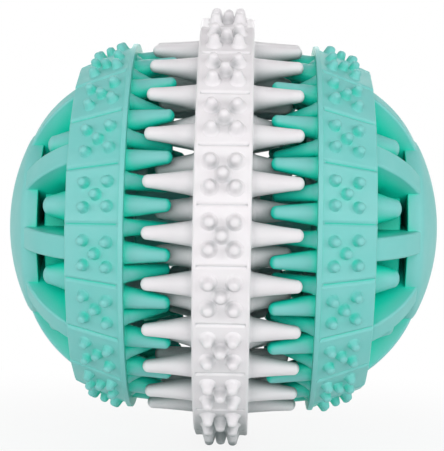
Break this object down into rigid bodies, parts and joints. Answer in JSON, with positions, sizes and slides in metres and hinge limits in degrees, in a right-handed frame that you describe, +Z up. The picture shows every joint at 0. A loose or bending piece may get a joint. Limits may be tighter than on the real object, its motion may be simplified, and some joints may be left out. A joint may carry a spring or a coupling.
{
  "type": "dog chew ball",
  "caption": "Hollow rubber dog chew ball: a white middle ring with studs and fingers between two mint end shells whose fingers mesh with it.",
  "frame": {"origin": "middle of the ball", "axes": "+X along the ball's axis, out of the right end shell; -Y towards the viewer of the picture; +Z up"},
  "size_m": [0.0684, 0.07, 0.07],
  "materials": {
    "mint_rubber": "satin natural rubber, mint green",
    "white_rubber": "satin natural rubber, white"
  },
  "bodies": {
    "root": {"left_end_shell": "mint_rubber", "centre_ring": "white_rubber", "right_end_shell": "mint_rubber"}
  },
  "joints": []
}
